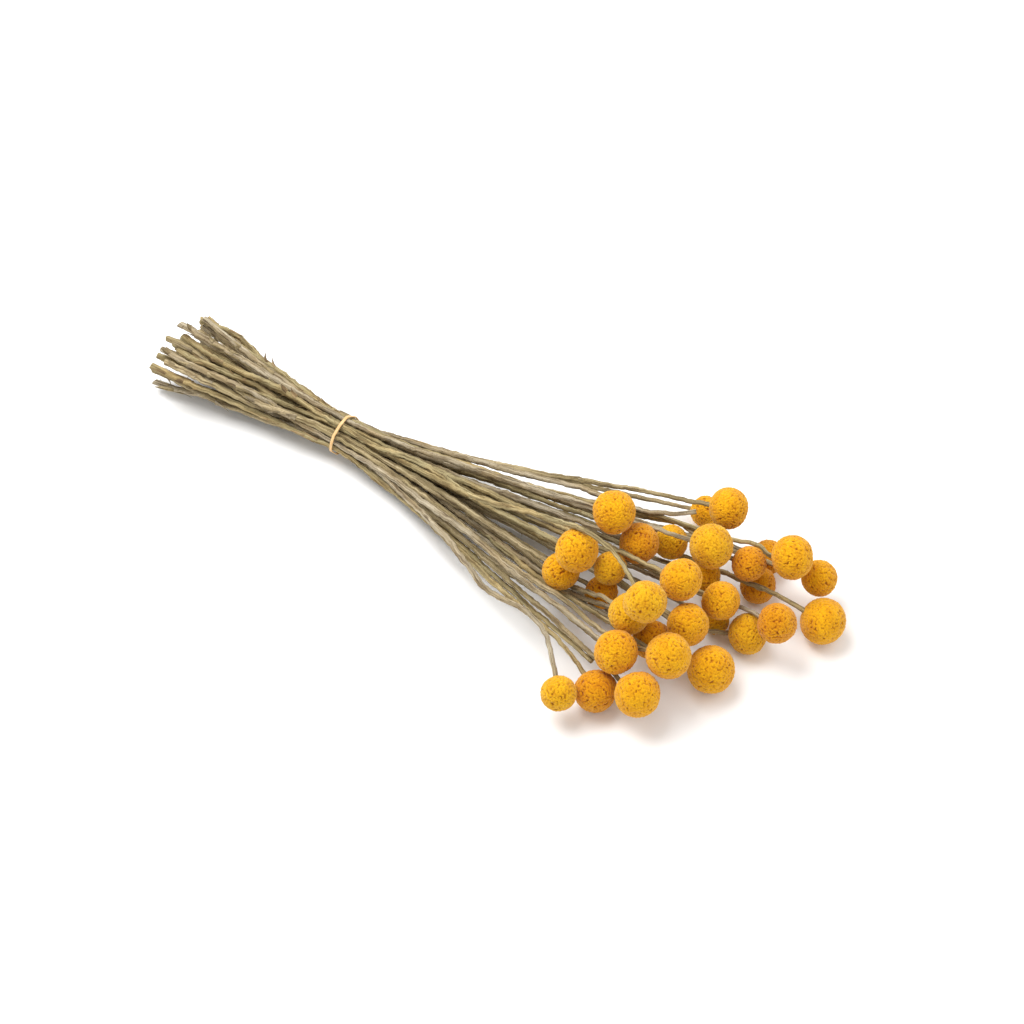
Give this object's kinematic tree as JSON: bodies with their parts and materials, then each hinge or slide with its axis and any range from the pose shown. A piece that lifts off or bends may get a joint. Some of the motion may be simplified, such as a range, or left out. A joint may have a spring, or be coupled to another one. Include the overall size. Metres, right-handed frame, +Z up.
{
  "type": "tied bunch of billy buttons",
  "caption": "Dried billy buttons with round yellow flower heads on long thin stems, gathered by a rubber band into a bunch that lies on its side.",
  "frame": {"origin": "centre of the bounding box, on the surface the bunch lies on", "axes": "+X along the bunch from the cut ends to the flower heads, +Z up from the surface, +Y across"},
  "size_m": [0.5015, 0.2025, 0.0777],
  "materials": {
    "flower_head": "matte",
    "stem": "matte",
    "rubber_band": "matte"
  },
  "bodies": {
    "root": {"flower_head_01": "flower_head", "flower_head_02": "flower_head", "flower_head_03": "flower_head", "flower_head_04": "flower_head", "flower_head_05": "flower_head", "flower_head_06": "flower_head", "flower_head_07": "flower_head", "flower_head_08": "flower_head", "flower_head_09": "flower_head", "flower_head_10": "flower_head", "flower_head_11": "flower_head", "flower_head_12": "flower_head", "flower_head_13": "flower_head", "flower_head_14": "flower_head", "flower_head_15": "flower_head", "flower_head_16": "flower_head", "flower_head_17": "flower_head", "flower_head_18": "flower_head", "flower_head_19": "flower_head", "flower_head_20": "flower_head", "flower_head_21": "flower_head", "flower_head_22": "flower_head", "flower_head_23": "flower_head", "flower_head_24": "flower_head", "flower_head_25": "flower_head", "flower_head_26": "flower_head", "flower_head_27": "flower_head", "flower_head_28": "flower_head", "flower_head_29": "flower_head", "flower_head_30": "flower_head", "flower_head_31": "flower_head", "flower_head_32": "flower_head", "rubber_band": "rubber_band", "stem_01": "stem", "stem_02": "stem", "stem_03": "stem", "stem_04": "stem", "stem_05": "stem", "stem_06": "stem", "stem_07": "stem", "stem_08": "stem", "stem_09": "stem", "stem_11": "stem", "stem_12": "stem", "stem_13": "stem", "stem_15": "stem", "stem_16": "stem", "stem_17": "stem", "stem_18": "stem", "stem_19": "stem", "stem_21": "stem", "stem_22": "stem", "stem_23": "stem", "stem_24": "stem", "stem_26": "stem", "stem_27": "stem", "stem_28": "stem", "stem_35": "stem", "stem_36": "stem", "stem_39": "stem"}
  },
  "joints": []
}
